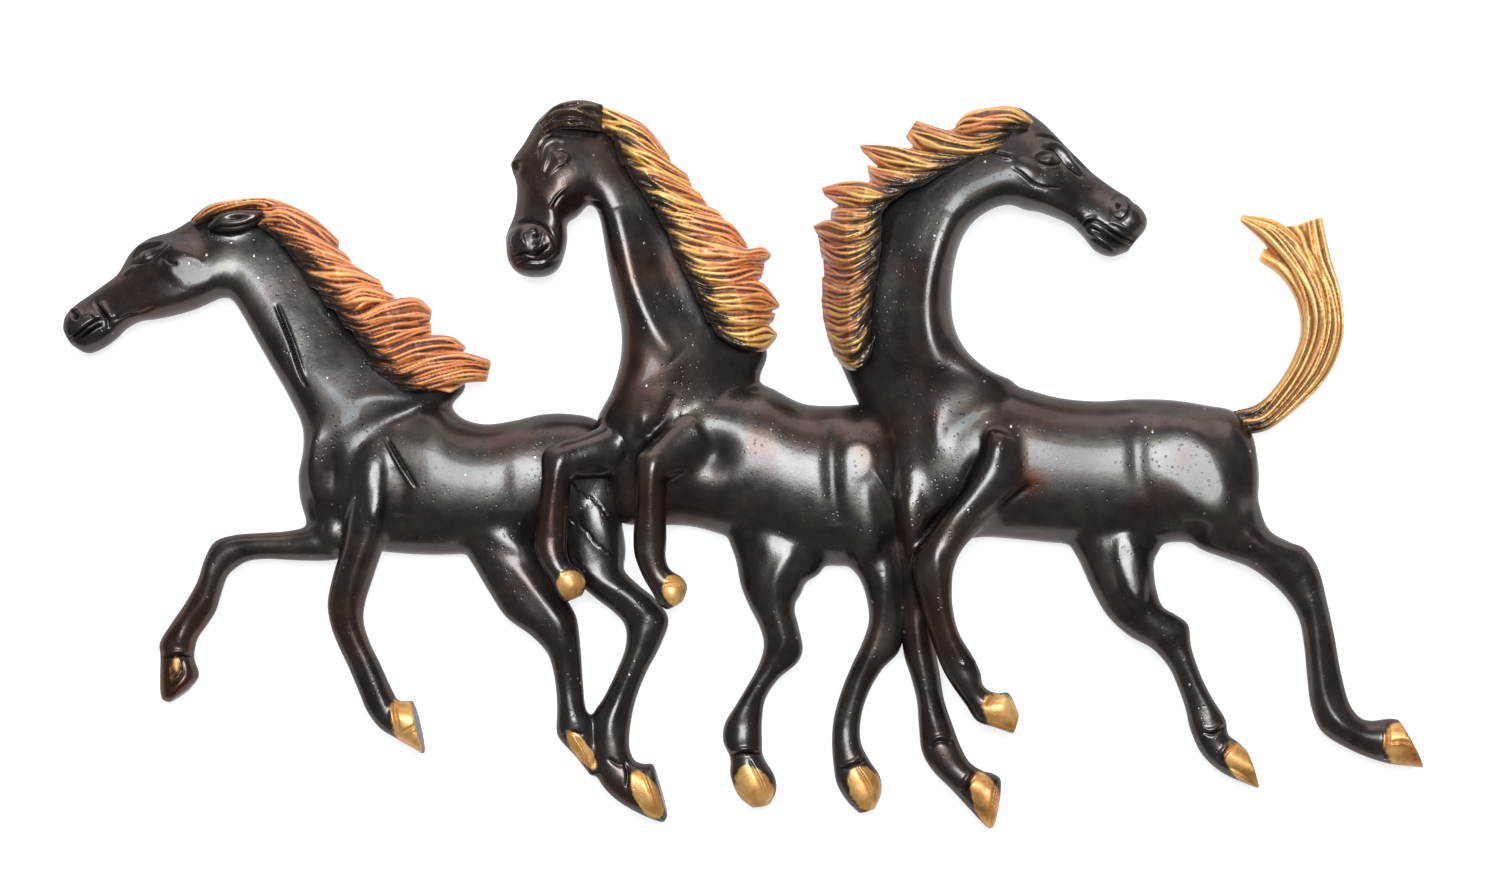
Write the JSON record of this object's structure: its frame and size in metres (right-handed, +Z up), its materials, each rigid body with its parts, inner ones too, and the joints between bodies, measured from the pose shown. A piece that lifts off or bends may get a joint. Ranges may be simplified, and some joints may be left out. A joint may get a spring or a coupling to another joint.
{
  "type": "horse wall relief",
  "caption": "Half-round cast wall relief of galloping horses with chased manes, brazed from hollow-backed sections and hung on keyhole straps.",
  "frame": {"origin": "on the wall plane, on the back face of the rib inside the middle horse, near the centre of the outline", "axes": "+X to the viewer's right along the wall, +Z up, +Y into the wall; the relief stands out towards -Y"},
  "size_m": [0.5202, 0.0347, 0.2778],
  "materials": {
    "patina": "black-brown patina, waxed to a gloss",
    "copper_wash": "copper wash rubbed off the crests",
    "gold_wash": "gold wash over chased grooves",
    "bare_brass": "bare cast brass, dull"
  },
  "bodies": {
    "root": {"left_body": "patina", "left_head": "patina", "left_mane": "copper_wash", "left_near_foreleg": "patina", "left_far_foreleg": "patina", "left_near_hindleg": "patina", "left_far_hindleg": "patina", "left_hanger": "bare_brass", "middle_body": "patina", "middle_head": "patina", "middle_mane": "copper_wash", "middle_near_foreleg": "patina", "middle_far_foreleg": "patina", "middle_near_hindleg": "patina", "middle_far_hindleg": "patina", "right_body": "patina", "right_head": "patina", "right_mane": "copper_wash", "right_near_foreleg": "patina", "right_far_foreleg": "patina", "right_near_hindleg": "patina", "right_far_hindleg": "patina", "right_tail": "gold_wash", "right_hanger": "bare_brass"}
  },
  "joints": []
}
